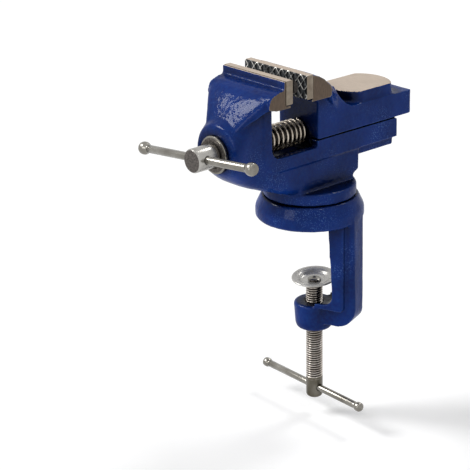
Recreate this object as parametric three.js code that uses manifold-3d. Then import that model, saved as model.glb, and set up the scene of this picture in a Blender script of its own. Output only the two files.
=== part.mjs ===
// Swivel bench vise with a clamp foot, in millimetres, +Z up.
// The origin is on the swivel axis, in the face that rests on the bench top. The handle end is -Y and
// the anvil end is +Y. The body turns on the clamp casting, and the rear jaw slides along Y in it.
// The clamp frame is built with its column at +Y, and stands turned about the swivel axis.
import * as THREE from 'three';
import { mergeVertices } from 'three/addons/utils/BufferGeometryUtils.js';
import Module from 'manifold-3d';

const wasm = await Module();
wasm.setup();

// Fits shared by all pieces
const faceGap = 0.3;
const boreClearance = 0.3;
const overrun = 1.0;
const overlap = 1.5;

// Swivel: flange, post and the neck that turns on it
const flangeRadius = 37.6;
const benchFaceRadius = 36.0;
const flangeEdgeRise = 2.0;
const flangeRimHeight = 8.0;
const flangeShoulderRadius = 33.4;
const seamHeight = 16.8;
const postRadius = 12.0;
const postTop = 42.0;
const postChamfer = 1.2;
const grooveHalfWidth = 4.6;
const grooveDepth = 1.6;
const lockHeight = 34.5;

// Clamp frame below the bench top, with a T section: a wide rib round the throat and a narrower web
const clampHeading = -70.0;
const ribHalfWidth = 12.5;
const ribDepth = 8.4;
const ribFootDepth = 4.2;
const webHalfWidth = 9.0;
const webEdgeRadius = 4.0;
const columnFront = 19.6;
const columnDraft = 3.4;
const columnRear = 37.2;
const columnRearDraft = 0.8;
const columnTop = 7.0;
const columnEdgeRadius = 1.8;
const columnRootRadius = 3.5;
const screwOffset = 3.4;
const bossRadius = 14.5;
const bossTop = -62.5;
const bossBottom = -82.8;
const bossDraft = 1.0;
const bossEdgeRadius = 4.6;
const footTopRise = 3.0;
const footBottomRise = 6.8;
const footHeelRadius = 13.5;
const footRootRadius = 4.0;
const throatRootRadius = 6.5;

// Clamp screw, its swivel pad and its bar
const clampThreadRadius = 5.9;
const clampScrewEnd = -136.2;
const clampScrewEndRound = 2.0;
const clampBarHeight = -128.5;
const clampBarRadius = 2.5;
const clampBarHalfLength = 45.1;
const clampBarShift = -2.9;
const clampBarAngle = -2.7;
const clampKnobRadius = 3.3;
const clampKnobLength = 6.2;
const padPivotHeight = -48.5;
const padTilt = 6.0;
const padTiltHeading = 18.0;
const padRimRadius = 15.7;
const padRimHeight = 0.9;
const padRimWidth = 1.6;
const padDishDepth = 3.2;
const padFloorRadius = 6.4;
const padFloor = 1.6;
const padHubRadius = 7.0;
const padHoleRadius = 4.0;
const pivotRadius = 3.4;
const pivotHeadRadius = 4.6;
const pivotHeadHeight = 1.8;

// Turning body: neck, block, arm, web and boss
const neckRadius = 32.2;
const neckTop = 25.4;
const neckEdgeRadius = 2.0;
const blockHalfWidth = 18.4;
const keelRear = -24.0;
const blockRear = 29.3;
const blockStepHeight = 31.0;
const blockStepRear = 24.4;
const armHalfWidth = 19.5;
const armTop = 60.0;
const armBottom = 46.0;
const armRear = 65.7;
const armEdgeRadius = 1.4;
const lipHalfWidth = 16.5;
const lipBottom = 40.4;
const lipRear = 64.4;
const throatFloor = 55.4;
const throatCornerRadius = 7.0;
const webFace = -51.4;
const webRimWidth = 7.2;
const webRimCornerRadius = 12.0;
const spindleHeight = 62.7;
const bodyBossRadius = 20.4;
const bodyBossFace = -83.9;

// Jaws
const jawHalfWidth = 30.0;
const jawTop = 110.5;
const jawUnderside = 91.8;
const frontJawFace = -43.2;
const jawGap = 12.6;
const plateThickness = 5.6;
const plateHeight = 16.0;
const plateEdgeChamfer = 0.5;
const frontLandWidth = 1.4;
const frontLandHeight = 5.4;
const frontHeadDepth = 14.4;
const frontLedge = 4.2;
const rearLedge = 1.6;
const plateScrewSpacing = 17.0;
const plateScrewDrop = 9.6;
const plateScrewRadius = 2.4;
const plateScrewHeadRadius = 4.4;
const plateScrewHeadHeight = 2.2;
const plateScrewLength = 12.4;
const plateScrewSink = 0.4;
const screwSlotWidth = 1.0;
const screwSlotDepth = 1.1;

// Sliding jaw: slab, dovetail tongue, jaw head and anvil
const slideHalfWidth = 19.5;
const slideFront = -10.2;
const slideRear = 79.4;
const slideTop = 77.4;
const slideEdgeRadius = 2.0;
const tongueTopHalfWidth = 10.6;
const tongueBottomHalfWidth = 13.2;
const tongueBottom = 50.0;
const tongueRear = 72.0;
const rearHeadDepth = 16.9;
const rearBackLength = 45.8;
const slideBoreRear = 62.0;
const anvilRadius = 23.4;
const anvilHalfWidth = 18.0;
const anvilCentre = 45.6;
const anvilTop = 85.4;
const anvilRootWidth = 1.6;

// Spindle, its thrust collar and its bar
const spindleRadius = 6.5;
const spindleEnd = 47.0;
const spindleEndChamfer = 1.2;
const collarRadius = 12.7;
const collarThickness = 2.0;
const hubRadius = 8.1;
const hubFace = -104.2;
const hubChamfer = 0.9;
const handleOffset = -97.0;
const handleRadius = 2.75;
const handleHalfLength = 48.6;
const handleShift = -3.6;
const handleTilt = 5.7;
const knobRadius = 4.4;
const knobLength = 7.6;
const knobRound = 1.2;
const knobSpigotRadius = 1.7;
const knobSpigotLength = 4.6;

// Return spring round the spindle
const springMeanRadius = 8.4;
const springWireRadius = 0.85;
const springPitch = 3.55;
const springLeastGap = 0.4;

// Swivel lock lever
const leverRadius = 3.9;
const leverBendRadius = 8.0;
const leverStem = 22.0;
const leverLength = 46.0;
const leverTilt = 5.0;
const leverTipLength = 1.2;
const leverTipGap = 0.9;

// Counts and shares that hold at any size
const roundSides = 36;
const wideSides = 60;
const smallSides = 16;
const formSides = 40;
const filletSteps = 4;
const springSteps = 8;
const springSides = 5;
const rightAngle = Math.PI / 2;

// Finishes
const enamel = { color: 0x1d3f94, roughness: 0.32, metalness: 0.0 };
const plated = { color: 0xc9c6bd, roughness: 0.25, metalness: 1.0 };
const hardened = { color: 0x5b5750, roughness: 0.5, metalness: 0.9 };
const springSteel = { color: 0x6d6760, roughness: 0.35, metalness: 1.0 };

// Mesh and solid helpers

const radians = (degrees) => (degrees * Math.PI) / 180;

// Signed volume of a triangle list, to tell which way its faces point
function signedVolume(positions, triangles) {
  let sum = 0;
  const a = new THREE.Vector3();
  const b = new THREE.Vector3();
  const c = new THREE.Vector3();
  for (let i = 0; i < triangles.length; i += 3) {
    a.fromArray(positions, triangles[i] * 3);
    b.fromArray(positions, triangles[i + 1] * 3);
    c.fromArray(positions, triangles[i + 2] * 3);
    sum += a.dot(b.cross(c));
  }
  return sum;
}

// A closed geometry as a solid: shared corners merged, empty triangles left out, faces outward
function solid(geometry) {
  const bare = geometry.clone();
  bare.deleteAttribute('normal');
  bare.deleteAttribute('uv');
  const merged = mergeVertices(bare);
  const vertProperties = new Float32Array(merged.attributes.position.array);
  const index = merged.index.array;
  const kept = [];
  for (let i = 0; i < index.length; i += 3) {
    const [p, q, r] = [index[i], index[i + 1], index[i + 2]];
    if (p !== q && q !== r && r !== p) kept.push(p, q, r);
  }
  if (signedVolume(vertProperties, kept) < 0) kept.reverse();
  const triVerts = new Uint32Array(kept);
  return new wasm.Manifold(new wasm.Mesh({ numProp: 3, vertProperties, triVerts }));
}

function geometryOf(body) {
  const mesh = body.getMesh();
  const geometry = new THREE.BufferGeometry();
  geometry.setAttribute('position', new THREE.BufferAttribute(mesh.vertProperties, 3));
  geometry.setIndex(new THREE.BufferAttribute(mesh.triVerts, 1));
  geometry.computeVertexNormals();
  return geometry;
}

const join = (first, ...rest) => rest.reduce((sum, next) => sum.add(next), first);
const cut = (first, ...rest) => rest.reduce((sum, next) => sum.subtract(next), first);

// A closed outline from corners [a, b, radius]; each radius is kept within its two sides
function outline(corners, steps = filletSteps) {
  const points = [];
  corners.forEach(([a, b, radius = 0], i) => {
    const corner = new THREE.Vector2(a, b);
    if (radius === 0) {
      points.push(corner);
      return;
    }
    const [beforeA, beforeB] = corners[(i + corners.length - 1) % corners.length];
    const [afterA, afterB] = corners[(i + 1) % corners.length];
    const toBefore = new THREE.Vector2(beforeA, beforeB).sub(corner);
    const toAfter = new THREE.Vector2(afterA, afterB).sub(corner);
    const room = Math.min(toBefore.length(), toAfter.length()) / 2;
    toBefore.normalize();
    toAfter.normalize();
    const half = Math.acos(THREE.MathUtils.clamp(toBefore.dot(toAfter), -1, 1)) / 2;
    const run = Math.min(radius / Math.tan(half), room);
    const reach = run / Math.cos(half);
    const centre = corner.clone().addScaledVector(toBefore.clone().add(toAfter).normalize(), reach);
    const start = corner.clone().addScaledVector(toBefore, run).sub(centre);
    const end = corner.clone().addScaledVector(toAfter, run).sub(centre);
    const turn = Math.atan2(start.cross(end), start.dot(end));
    for (let k = 0; k <= steps; k += 1) {
      const spoke = start.clone().rotateAround(new THREE.Vector2(), (turn * k) / steps);
      points.push(centre.clone().add(spoke));
    }
  });
  return points;
}

// An outline pushed along an axis: its plane is YZ for x, XZ for y and XY for z
function prism(axis, points, from, to) {
  const depth = to - from;
  const geometry = new THREE.ExtrudeGeometry(new THREE.Shape(points), { depth, bevelEnabled: false });
  const [x, y, z] = [new THREE.Vector3(1, 0, 0), new THREE.Vector3(0, 1, 0), new THREE.Vector3(0, 0, 1)];
  const place = new THREE.Matrix4();
  if (axis === 'x') place.makeBasis(y, z, x).setPosition(from, 0, 0);
  if (axis === 'y') place.makeBasis(x, z, y.clone().negate()).setPosition(0, to, 0);
  if (axis === 'z') place.setPosition(0, 0, from);
  return solid(geometry.applyMatrix4(place));
}

const block = (axis, [a0, a1], [b0, b1], from, to) =>
  prism(axis, outline([[a0, b0], [a1, b0], [a1, b1], [a0, b1]]), from, to);

// A profile of [radius, place along the axis] revolved about an axis through a centre
function turned(axis, profile, centre = [0, 0, 0], sides = roundSides) {
  const points = profile.map(([radius, along]) => new THREE.Vector2(radius, along));
  const geometry = new THREE.LatheGeometry(points, sides);
  if (axis === 'x') geometry.rotateZ(-rightAngle);
  if (axis === 'z') geometry.rotateX(rightAngle);
  return solid(geometry.translate(...centre));
}

const rod = (axis, radius, from, to, centre, sides) =>
  turned(axis, [[0, from], [radius, from], [radius, to], [0, to]], centre, sides);

// Rings of points with as many points each, joined into one closed skin
function skin(rings) {
  const count = rings[0].length;
  const positions = rings.flat().flatMap((point) => point.toArray());
  const triangles = [];
  for (let i = 0; i + 1 < rings.length; i += 1) {
    for (let k = 0; k < count; k += 1) {
      const next = (k + 1) % count;
      const [a, b] = [i * count + k, i * count + next];
      triangles.push(a, b, b + count, a, b + count, a + count);
    }
  }
  const last = (rings.length - 1) * count;
  for (let k = 1; k + 1 < count; k += 1) {
    triangles.push(0, k + 1, k, last, last + k, last + k + 1);
  }
  const geometry = new THREE.BufferGeometry();
  geometry.setAttribute('position', new THREE.Float32BufferAttribute(positions, 3));
  geometry.setIndex(triangles);
  return geometry;
}

// An upright ring across Y, widest at a level: a power of 2 is round, and a higher one is boxier
function formRing({ y, halfWidth, level, top, bottom, topPower, lowPower }) {
  return Array.from({ length: formSides }, (_, k) => {
    const angle = (2 * Math.PI * (k + 1 / 2)) / formSides;
    const [across, up] = [Math.cos(angle), Math.sin(angle)];
    const power = 2 / (up > 0 ? topPower : lowPower);
    const reach = up > 0 ? top - level : level - bottom;
    return new THREE.Vector3(
      halfWidth * Math.sign(across) * Math.abs(across) ** power, y,
      level + reach * Math.sign(up) * Math.abs(up) ** power,
    );
  });
}

const form = (sections) => solid(skin(sections.map(formRing)));

// A round tube along points, with the joints mitred
function tube(points, radius, sides, firstSpoke) {
  const along = points.map((point, i) => {
    const before = points[Math.max(i - 1, 0)];
    const after = points[Math.min(i + 1, points.length - 1)];
    const arriving = i === 0 ? after.clone().sub(point) : point.clone().sub(before);
    const leaving = i === points.length - 1 ? point.clone().sub(before) : after.clone().sub(point);
    return { arriving: arriving.normalize(), leaving: leaving.normalize() };
  });
  const spoke = firstSpoke.clone();
  const rings = points.map((point, i) => {
    const { arriving, leaving } = along[i];
    spoke.addScaledVector(arriving, -spoke.dot(arriving)).normalize();
    const across = new THREE.Vector3().crossVectors(arriving, spoke);
    const mitre = arriving.clone().add(leaving).normalize();
    const ring = Array.from({ length: sides }, (_, k) => {
      const angle = (2 * Math.PI * k) / sides;
      const offset = spoke.clone().multiplyScalar(radius * Math.cos(angle));
      offset.addScaledVector(across, radius * Math.sin(angle));
      offset.addScaledVector(arriving, -offset.dot(mitre) / arriving.dot(mitre));
      return point.clone().add(offset);
    });
    spoke.addScaledVector(leaving, -spoke.dot(leaving)).normalize();
    return ring;
  });
  return skin(rings);
}

// Clamp casting: flange and post turned in one, column, foot and screw boss

function clampFrame() {
  const footTop = bossTop + footTopRise;
  const footBottom = bossBottom + footBottomRise;
  const throatRoot = [
    [columnFront - columnRootRadius * 2, columnTop], [columnFront - columnRootRadius * 2, 0],
    [columnFront, 0, columnRootRadius], [columnFront + columnDraft, footTop, throatRootRadius],
    [screwOffset, footTop],
  ];
  const ribRear = columnFront + columnDraft + ribDepth;
  const rib = prism('x', outline([
    ...throatRoot, [screwOffset, footTop - ribFootDepth], [ribRear, footTop - ribFootDepth, footRootRadius],
    [ribRear, columnTop],
  ]), -ribHalfWidth, ribHalfWidth);
  const webRear = columnRear + columnRearDraft;
  const web = prism('x', outline([
    ...throatRoot, [screwOffset, footBottom], [webRear, footBottom, footHeelRadius],
    [columnRear, columnTop, columnEdgeRadius],
  ], filletSteps * 2), -webHalfWidth, webHalfWidth);
  const plan = (halfWidth, rear, radius) => prism('z', outline([
    [-bossRadius, screwOffset], [bossRadius, screwOffset], [halfWidth, columnFront, bossRadius],
    [halfWidth, rear, radius], [-halfWidth, rear, radius], [-halfWidth, columnFront, bossRadius],
  ]), footBottom - overrun, columnTop + overrun);
  const frame = join(
    rib.intersect(plan(ribHalfWidth, ribRear, columnEdgeRadius)),
    web.intersect(plan(webHalfWidth, webRear, webEdgeRadius)),
  );
  const foot = bossRadius - bossDraft;
  const round = Array.from({ length: filletSteps + 1 }, (_, k) => {
    const angle = (rightAngle * k) / filletSteps;
    return [
      foot - bossEdgeRadius * (1 - Math.sin(angle)), bossBottom + bossEdgeRadius * (1 - Math.cos(angle)),
    ];
  });
  const topEdge = bossEdgeRadius / 3;
  const boss = turned('z', [
    [0, bossBottom], ...round, [bossRadius, bossTop - topEdge], [bossRadius - topEdge, bossTop], [0, bossTop],
  ], [0, screwOffset, 0]);
  const bossReach = rod('z', foot, footBottom - overrun, footTop + overrun, [0, screwOffset, 0]);
  return join(cut(frame, bossReach), boss);
}

function clampCasting() {
  const shoulder = outline([
    [flangeRadius, flangeEdgeRise], [flangeRadius, flangeRimHeight, seamHeight - flangeRimHeight],
    [flangeShoulderRadius, seamHeight, flangeEdgeRise], [postRadius, seamHeight],
  ]).map((point) => [point.x, point.y]);
  const base = turned('z', [
    [0, 0], [benchFaceRadius, 0], ...shoulder,
    [postRadius, lockHeight - grooveHalfWidth], [postRadius - grooveDepth, lockHeight],
    [postRadius, lockHeight + grooveHalfWidth], [postRadius, postTop - postChamfer],
    [postRadius - postChamfer, postTop], [0, postTop],
  ], [0, 0, 0], wideSides);
  const bore = rod('z', clampThreadRadius + boreClearance, bossBottom - overrun, bossTop + overrun,
    [0, screwOffset, 0]);
  return cut(join(base, clampFrame().rotate([0, 0, clampHeading])), bore.rotate([0, 0, clampHeading]));
}

// Clamp screw with its pivot, swivel pad and bar

// The pad about its pivot, which is in the middle of its floor
function clampPad() {
  const floorTop = padFloor / 2;
  const floorBottom = -padFloor / 2;
  const rim = floorTop + padDishDepth;
  return turned('z', [
    [padHoleRadius, floorBottom], [padHubRadius, floorBottom],
    [padRimRadius, rim - padRimHeight], [padRimRadius, rim], [padRimRadius - padRimWidth, rim],
    [padFloorRadius, floorTop], [padHoleRadius, floorTop], [padHoleRadius, floorBottom],
  ]);
}

// The riveted pivot leaves room above and below the floor for the pad to tilt
function clampScrew() {
  const room = (radius) => padFloor / 2 + radius * Math.sin(radians(padTilt)) + faceGap;
  const shoulder = padPivotHeight - room(clampThreadRadius);
  const head = padPivotHeight + room(pivotHeadRadius);
  const body = turned('z', [
    [0, clampScrewEnd], [clampThreadRadius - clampScrewEndRound, clampScrewEnd],
    [clampThreadRadius, clampScrewEnd + clampScrewEndRound], [clampThreadRadius, shoulder],
    [pivotRadius, shoulder], [pivotRadius, head], [pivotHeadRadius, head],
    [pivotHeadRadius, head + pivotHeadHeight / 2], [pivotRadius, head + pivotHeadHeight],
    [0, head + pivotHeadHeight],
  ]);
  const hole = rod('x', clampBarRadius + boreClearance, -bossRadius, bossRadius, [0, 0, 0], smallSides);
  return cut(body, hole.rotate([0, 0, clampBarAngle]).translate([0, 0, clampBarHeight]));
}

// A plain bar with turned-down ends, and the knob that is pressed on one of them
function bar(radius, halfLength, chamfer) {
  const seat = halfLength + knobSpigotLength;
  return turned('x', [
    [0, -seat], [knobSpigotRadius, -seat], [knobSpigotRadius, -halfLength], [radius - chamfer, -halfLength],
    [radius, chamfer - halfLength], [radius, halfLength - chamfer], [radius - chamfer, halfLength],
    [knobSpigotRadius, halfLength], [knobSpigotRadius, seat], [0, seat],
  ], [0, 0, 0], smallSides);
}

function knob(radius, length, side) {
  const bore = knobSpigotRadius + boreClearance;
  const depth = knobSpigotLength + faceGap;
  const skirt = outline([[bore, 0], [radius, 0, knobRound / 2], [radius, length, knobRound], [0, length]]);
  const profile = [[0, depth], [bore, depth], ...skirt.map((point) => [point.x, point.y])];
  return turned('x', profile.map(([reach, along]) => [reach, side * along]), [0, 0, 0], smallSides);
}

// Body: a neck on the swivel, a block, the grooved arm, the web and the front jaw with its boss

const noseLength = webFace - bodyBossFace;
const alongNose = (share) => webFace - noseLength * share;

// The nose behind the boss face: place, width, rise and drop from the spindle, and the two powers
function noseForm() {
  const noseShares = [
    [0.0, 0.93, 1.0, 0.83, 9, 6], [0.14, 0.93, 1.0, 0.79, 9, 5.2], [0.36, 0.94, 1.0, 0.72, 8, 4.2],
    [0.54, 0.95, 0.95, 0.65, 6, 3.5], [0.69, 0.97, 0.83, 0.58, 4, 3], [0.82, 0.99, 0.72, 0.5, 2.7, 2.6],
    [0.91, 1.0, 0.67, 0.43, 2.2, 2.4], [0.955, 0.98, 0.65, 0.385, 2.1, 2.3], [0.985, 0.93, 0.61, 0.345, 2, 2.2],
    [1.0, 0.84, 0.55, 0.29, 2, 2.2],
  ];
  const rise = jawUnderside + overlap - spindleHeight;
  const drop = spindleHeight - neckTop;
  return form(noseShares.map(([share, widthShare, riseShare, dropShare, topPower, lowPower]) => ({
    y: alongNose(share),
    halfWidth: bodyBossRadius * widthShare,
    level: spindleHeight,
    top: spindleHeight + rise * riseShare,
    bottom: spindleHeight - drop * dropShare,
    topPower,
    lowPower,
  })));
}

// The keel under the throat, from the nose down into the neck
function keelForm() {
  const keelShares = [
    [-0.15, 1.03, 0.36, 3.6], [0.0, 1.03, 0.29, 3.8], [0.16, 1.02, 0.21, 4.2], [0.4, 1.01, 0.09, 5],
    [0.65, 1.0, 0.0, 6.5], [1.0, 1.0, -0.08, 9],
  ];
  const level = armBottom + overlap;
  return form(keelShares.map(([share, widthShare, riseShare, lowPower]) => ({
    y: webFace + (keelRear - webFace) * share,
    halfWidth: blockHalfWidth * widthShare,
    level,
    top: level + overlap,
    bottom: neckTop + (level - neckTop) * riseShare,
    topPower: lowPower,
    lowPower,
  })));
}

// The crowned shoulder that narrows from the full jaw width into the boss
function frontShoulder() {
  const shoulderShares = [
    [0.02, 1.0, 0.99, 0.5, 10], [0.2, 0.99, 0.95, 0.44, 7], [0.34, 0.965, 0.86, 0.37, 5],
    [0.45, 0.9, 0.74, 0.24, 4], [0.555, 0.8, 0.58, 0.08, 3.4], [0.65, 0.7, 0.41, -0.05, 3.1],
    [0.74, 0.61, 0.22, -0.18, 2.9], [0.82, 0.53, 0.04, -0.28, 2.8], [0.89, 0.45, -0.12, -0.36, 2.8],
  ];
  const bossTop = spindleHeight + bodyBossRadius;
  const rise = jawTop - frontLandHeight - bossTop;
  return form(shoulderShares.map(([share, widthShare, riseShare, lowShare, power]) => ({
    y: alongNose(share),
    halfWidth: jawHalfWidth * widthShare,
    level: bossTop + (rise * (riseShare + lowShare)) / 2,
    top: bossTop + rise * riseShare,
    bottom: bossTop + rise * lowShare,
    topPower: power,
    lowPower: power,
  })));
}

const frontSeat = frontJawFace - plateThickness - faceGap;
const plateBottom = jawTop - plateHeight;
const plateScrewHeight = jawTop - plateScrewDrop;

function frontHead() {
  const headShares = [
    [0.43, 0.94, 0.4], [0.91, 0.76, 0.3], [1.03, 0.39, 0.25], [1.02, 0.13, 0.12], [0.48, 0.0, 0.25],
  ];
  const land = frontSeat - frontLandWidth;
  const shoulder = jawTop - frontLandHeight;
  const back = headShares.map(([depthShare, riseShare, radiusShare]) => [
    frontSeat - frontHeadDepth * depthShare,
    jawUnderside + (shoulder - jawUnderside) * riseShare,
    frontHeadDepth * radiusShare,
  ]);
  return prism('x', outline([
    [frontSeat, jawTop], [land, jawTop], [land, shoulder], ...back,
    [frontSeat + frontLedge, jawUnderside], [frontSeat + frontLedge, plateBottom - faceGap],
    [frontSeat, plateBottom - faceGap],
  ]), -jawHalfWidth, jawHalfWidth);
}

// The arm with the rim that runs round the throat
function arm() {
  const step = slideFront - faceGap * 2;
  const body = prism('x', outline([
    [webFace, jawUnderside + overlap], [webFace, throatFloor, throatCornerRadius], [step, throatFloor],
    [step, armTop], [armRear, armTop, armEdgeRadius], [armRear, armBottom, armEdgeRadius],
    [webFace - webRimWidth, armBottom, webRimCornerRadius], [webFace - webRimWidth, jawUnderside + overlap],
  ]), -armHalfWidth, armHalfWidth);
  const lip = prism('x', outline([
    [blockRear - overlap, armBottom + overlap], [lipRear, armBottom + overlap],
    [lipRear, lipBottom, armEdgeRadius], [blockRear - overlap, lipBottom],
  ]), -lipHalfWidth, lipHalfWidth);
  return join(body, lip);
}

function neckAndBlock() {
  const neck = turned('z', [
    [0, seamHeight + faceGap], [neckRadius, seamHeight + faceGap],
    ...outline([
      [neckRadius, seamHeight + faceGap], [neckRadius, neckTop, neckEdgeRadius], [0, neckTop],
    ]).slice(1, -1).map((point) => [point.x, point.y]),
    [0, neckTop],
  ], [0, 0, 0], wideSides);
  const pedestal = prism('x', outline([
    [keelRear - overlap, neckTop - overlap], [keelRear - overlap, armBottom + overlap],
    [blockRear, armBottom + overlap], [blockRear, blockStepHeight, armEdgeRadius],
    [blockStepRear, blockStepHeight - armEdgeRadius * 2, armEdgeRadius], [blockStepRear, neckTop - overlap],
  ]), -blockHalfWidth, blockHalfWidth);
  return join(neck, pedestal);
}

// Dovetail outline in XZ, grown by a clearance on its flanks and floor
function dovetail(clearance, top) {
  const flank = (tongueBottomHalfWidth - tongueTopHalfWidth) / (armTop - tongueBottom);
  const bottom = tongueBottom - clearance;
  const halfWidthAt = (height) => tongueTopHalfWidth + clearance + flank * (armTop - height);
  return outline([
    [-halfWidthAt(top), top], [halfWidthAt(top), top],
    [halfWidthAt(bottom), bottom], [-halfWidthAt(bottom), bottom],
  ]);
}

const plateScrewPlaces = [-plateScrewSpacing, plateScrewSpacing];

function bodyCasting() {
  const body = join(neckAndBlock(), arm(), keelForm(), noseForm(), frontShoulder(), frontHead());
  const slot = prism('y', dovetail(faceGap, armTop + overrun), webFace, armRear + overrun);
  const postBore = rod('z', postRadius + boreClearance, seamHeight - overrun, postTop + faceGap * 2,
    [0, 0, 0]);
  const spindleBore = rod('y', spindleRadius + boreClearance, bodyBossFace - overrun, webFace + overrun,
    [0, 0, spindleHeight]);
  const lockHole = rod('x', leverRadius + boreClearance, -blockHalfWidth - overrun, 0,
    [0, 0, lockHeight], smallSides);
  const screwHoles = plateScrewPlaces.map((x) => rod('y', plateScrewRadius + boreClearance,
    frontJawFace - plateScrewSink - plateScrewLength - faceGap, frontSeat + overrun,
    [x, 0, plateScrewHeight], smallSides));
  return cut(body, slot, postBore, spindleBore, lockHole, ...screwHoles);
}

// Jaw plate and its countersunk screws, for a jaw that grips towards +Y or -Y
function jawPlate(face, towards) {
  const back = face - towards * plateThickness;
  const plate = prism('x', outline([
    [face, plateBottom + plateEdgeChamfer], [face, jawTop - plateEdgeChamfer],
    [face - towards * plateEdgeChamfer, jawTop], [back, jawTop], [back, plateBottom],
    [face - towards * plateEdgeChamfer, plateBottom],
  ]), -jawHalfWidth, jawHalfWidth);
  const headRadius = plateScrewHeadRadius + boreClearance;
  const holeRadius = plateScrewRadius + boreClearance;
  const holes = plateScrewPlaces.map((x) => turned('y', [
    [0, face + towards * overrun], [headRadius, face + towards * overrun],
    [headRadius, face - towards * plateScrewSink],
    [holeRadius, face - towards * (plateScrewSink + plateScrewHeadHeight)],
    [holeRadius, back - towards * overrun], [0, back - towards * overrun],
  ], [x, 0, plateScrewHeight], smallSides));
  return cut(plate, ...holes);
}

function plateScrew(face, towards, x) {
  const top = face - towards * plateScrewSink;
  const end = top - towards * plateScrewLength;
  const body = turned('y', [
    [0, top], [plateScrewHeadRadius, top],
    [plateScrewRadius, top - towards * plateScrewHeadHeight], [plateScrewRadius, end], [0, end],
  ], [x, 0, plateScrewHeight], smallSides);
  const depths = [top + towards * overrun, top - towards * screwSlotDepth];
  const slot = block('y', [-screwSlotWidth / 2, screwSlotWidth / 2], [-bossRadius, bossRadius],
    Math.min(...depths), Math.max(...depths));
  return cut(body, slot.translate([x, 0, plateScrewHeight]));
}

// Sliding jaw: slab and dovetail tongue, anvil, jaw head with its back running down to the slab

const rearJawFace = frontJawFace + jawGap;
const rearSeat = rearJawFace + plateThickness + faceGap;
const slideBottom = armTop + faceGap;

function slab() {
  const plan = outline([
    [slideHalfWidth, slideFront, slideEdgeRadius / 2], [slideHalfWidth, slideRear, slideEdgeRadius],
    [-slideHalfWidth, slideRear, slideEdgeRadius], [-slideHalfWidth, slideFront, slideEdgeRadius / 2],
  ]);
  const body = prism('z', plan, slideBottom, slideTop);
  const tongue = prism('y', dovetail(0, slideBottom + overlap), slideFront, tongueRear);
  return join(body, tongue);
}

function anvil() {
  const rootShares = [[1, -1], [1, 0], [0.45, 0.25], [0.12, 0.65], [0, 1.3]];
  const ringAt = (grow, height) => Array.from({ length: wideSides }, (_, k) => {
    const angle = (2 * Math.PI * k) / wideSides;
    const limit = Math.min(anvilHalfWidth + grow, slideHalfWidth);
    const x = THREE.MathUtils.clamp((anvilRadius + grow) * Math.cos(angle), -limit, limit);
    return new THREE.Vector3(x, anvilCentre + (anvilRadius + grow) * Math.sin(angle), height);
  });
  const root = rootShares.map(([growShare, riseShare]) => (
    ringAt(anvilRootWidth * growShare, slideTop + anvilRootWidth * riseShare)
  ));
  return solid(skin([...root, ringAt(0, anvilTop)]));
}

// The jaw's back: full width at the jaw, then narrowing to the slab's width where it meets it
function rearBack() {
  const backShares = [
    [0.0, 1.0, 1.0, 0.44, 12], [0.12, 1.0, 0.945, 0.42, 9], [0.24, 1.0, 0.855, 0.41, 7],
    [0.35, 0.99, 0.76, 0.4, 5.5], [0.43, 0.8, 0.7, 0.33, 4.4], [0.51, 0.52, 0.635, 0.22, 4],
    [0.6, 0.24, 0.55, 0.06, 4.2], [0.7, 0.05, 0.42, -0.05, 5], [0.8, 0.0, 0.25, -0.05, 6],
    [0.9, 0.0, 0.1, -0.05, 7], [1.0, 0.0, 0.02, -0.05, 8],
  ];
  const rise = jawTop - slideTop;
  return form(backShares.map(([share, widthShare, riseShare, lowShare, power]) => ({
    y: rearSeat + rearBackLength * share,
    halfWidth: slideHalfWidth + (jawHalfWidth - slideHalfWidth) * widthShare,
    level: slideTop + (rise * (riseShare + lowShare)) / 2,
    top: slideTop + rise * riseShare,
    bottom: slideTop + rise * lowShare,
    topPower: power,
    lowPower: power,
  })));
}

// The squared jaw end in front of its back, with the ledge under the plate
function rearHead() {
  const headShares = [
    [0.35, 0.87, 0.4], [0.62, 0.73, 0.3], [0.89, 0.47, 0.3], [1.0, 0.27, 0.2], [1.0, 0.0, 0.1],
  ];
  const back = headShares.map(([depthShare, riseShare, radiusShare]) => [
    rearSeat + rearHeadDepth * depthShare,
    jawUnderside + (jawTop - jawUnderside) * riseShare,
    rearHeadDepth * radiusShare,
  ]);
  return prism('x', outline([
    [rearSeat, jawTop], ...back, [rearSeat - rearLedge, jawUnderside],
    [rearSeat - rearLedge, plateBottom - faceGap], [rearSeat, plateBottom - faceGap],
  ]), -jawHalfWidth, jawHalfWidth);
}

// The upright wall that carries the jaw on the slab's front end
function rearWall() {
  const wallShares = [[0.64, 0.52], [0.7, 0.38], [0.76, 0.23], [0.83, 0.1], [0.98, 0.0]];
  const back = wallShares.map(([share, riseShare]) => [
    rearSeat + rearBackLength * share, slideTop + (jawTop - slideTop) * riseShare,
  ]);
  return prism('x', outline([
    [slideFront, slideTop - overlap], [slideFront, jawUnderside - overlap, throatCornerRadius],
    [rearSeat + overlap, jawUnderside + overlap], ...back, [anvilCentre - anvilRadius, slideTop - overlap],
  ]), -slideHalfWidth, slideHalfWidth);
}

function slidingJaw() {
  const jaw = join(slab(), anvil(), rearBack(), rearWall(), rearHead());
  const bore = rod('y', spindleRadius + boreClearance, slideFront - overrun, slideBoreRear,
    [0, 0, spindleHeight]);
  const screwHoles = plateScrewPlaces.map((x) => rod('y', plateScrewRadius + boreClearance,
    rearSeat - overrun, rearJawFace + plateScrewSink + plateScrewLength + faceGap,
    [x, 0, plateScrewHeight], smallSides));
  return cut(jaw, bore, ...screwHoles);
}

// Spindle in one piece: head with its cross hole, journal and thread

const collarFront = bodyBossFace - faceGap - collarThickness;

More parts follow.
